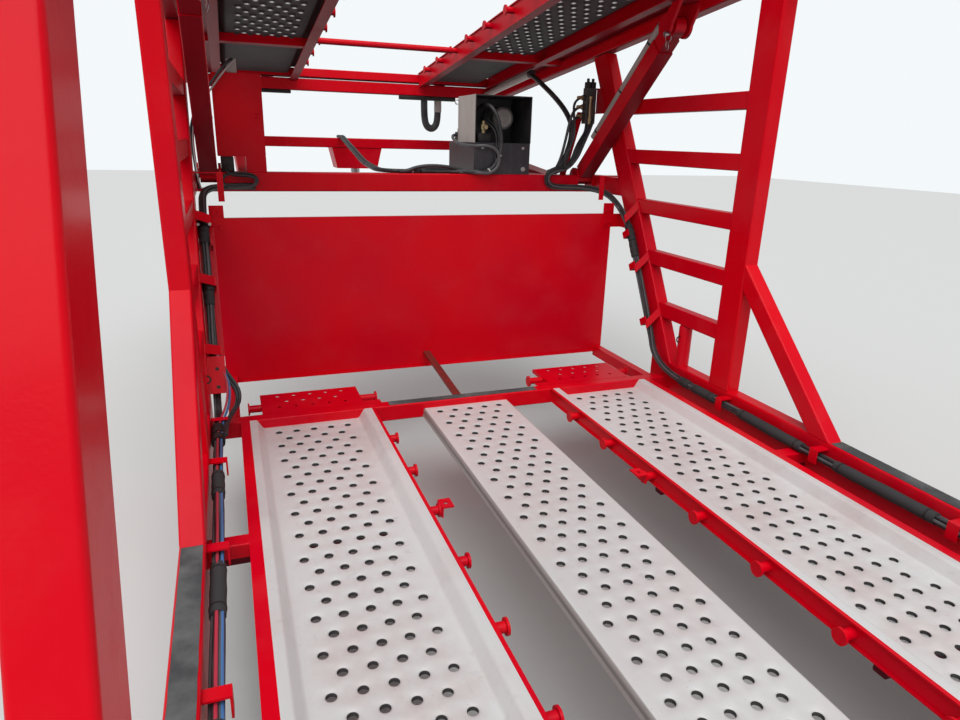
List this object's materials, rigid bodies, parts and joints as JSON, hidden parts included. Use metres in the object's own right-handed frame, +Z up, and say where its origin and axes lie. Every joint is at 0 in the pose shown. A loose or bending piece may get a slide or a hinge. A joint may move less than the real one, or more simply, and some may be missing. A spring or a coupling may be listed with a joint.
{
  "type": "car transporter trailer front deck bay",
  "caption": "Front deck bay of a car transporter trailer: perforated wheel tracks between box-tube side frames, gooseneck, and a tilting upper deck on lift arms.",
  "frame": {"origin": "on the kingpin's axis, at the underside of the coupler box", "axes": "+X to the trailer's right, +Y forward, +Z up"},
  "size_m": [2.594, 6.0501, 2.2381],
  "materials": {
    "red_paint": "glossy red paint",
    "track_aluminium": "satin aluminium sheet",
    "black_hose": "matt black",
    "bare_steel": "plain turned steel",
    "grey_pipe": "satin grey paint",
    "dark_grey_paint": "satin dark grey paint",
    "light_grey_panel": "satin light grey paint",
    "motor_black": "satin black paint"
  },
  "bodies": {
    "bay_frame": {"side_rail_left": "red_paint", "side_rail_right": "red_paint", "near_post_left": "red_paint", "near_post_right": "red_paint", "mid_post_left": "red_paint", "mid_post_right": "red_paint", "front_post_left": "red_paint", "front_post_right": "red_paint", "ladder_rungs_left": "red_paint", "ladder_rungs_right": "red_paint", "track_pan_left": "track_aluminium", "track_pan_right": "track_aluminium", "track_edges_left": "red_paint", "track_edges_right": "red_paint", "hose_bundle_left": "black_hose", "hose_bundle_right": "black_hose", "braces": "red_paint", "top_rails": "red_paint", "crossmembers": "red_paint", "outriggers": "red_paint", "centre_plank": "track_aluminium", "step_plates": "red_paint", "bulkhead": "red_paint", "bulkhead_brackets": "red_paint", "front_stringers": "red_paint", "gooseneck_crossbeams": "red_paint", "gooseneck_side_beams": "red_paint", "gooseneck_shoulders": "red_paint", "coupler_box": "red_paint", "kingpin": "bare_steel", "portal_posts": "red_paint", "portal_beam": "red_paint", "hinge_lugs": "red_paint", "pivot_pins": "bare_steel", "arm_brackets": "red_paint", "valve_cabinet": "red_paint", "equipment_shelf": "red_paint", "power_unit_tank": "dark_grey_paint", "power_unit_housing": "light_grey_panel", "power_unit_motor": "motor_black", "hose_clips": "red_paint", "valve_manifold": "motor_black", "manifold_bracket": "red_paint"},
    "upper_deck": {"deck_side_beam_left": "red_paint", "deck_side_beam_right": "red_paint", "deck_pan_left": "track_aluminium", "deck_pan_right": "track_aluminium", "deck_edges_left": "red_paint", "deck_edges_right": "red_paint", "deck_bearers": "red_paint", "deck_front_beam": "red_paint", "deck_tie_bar": "red_paint", "deck_hangers": "red_paint"},
    "arm_left": {"arm_sleeve_left": "red_paint", "arm_pipe_left": "grey_pipe"},
    "rod_left": {"arm_rod_left": "red_paint"},
    "arm_right": {"arm_sleeve_right": "red_paint", "arm_pipe_right": "grey_pipe"},
    "rod_right": {"arm_rod_right": "red_paint"}
  },
  "joints": [
    {"name": "deck_tilt", "type": "hinge", "parent": "bay_frame", "child": "upper_deck", "pos_m": [0, -0.19, 0.7], "axis": [-1, 0, 0], "range_deg": [0, 6]},
    {"name": "arm_swing_left", "type": "hinge", "parent": "bay_frame", "child": "arm_left", "pos_m": [-1.156, -1.98, 0.046], "axis": [-1, 0, 0], "range_deg": [0, 9.61]},
    {"name": "rod_slide_left", "type": "slide", "parent": "arm_left", "child": "rod_left", "axis": [0, -0.7479, 0.6638], "range_m": [0, 0.1839]},
    {"name": "arm_swing_right", "type": "hinge", "parent": "bay_frame", "child": "arm_right", "pos_m": [1.156, -1.98, 0.046], "axis": [-1, 0, 0], "range_deg": [0, 9.61]},
    {"name": "rod_slide_right", "type": "slide", "parent": "arm_right", "child": "rod_right", "axis": [0, -0.7479, 0.6638], "range_m": [0, 0.1839]}
  ],
  "couplings": [
    {"joint": "arm_swing_left", "follows": "deck_tilt", "ratio": 1.5941},
    {"joint": "rod_slide_left", "follows": "deck_tilt", "m_per_rad": 1.747},
    {"joint": "arm_swing_right", "follows": "deck_tilt", "ratio": 1.5941},
    {"joint": "rod_slide_right", "follows": "deck_tilt", "m_per_rad": 1.747}
  ]
}
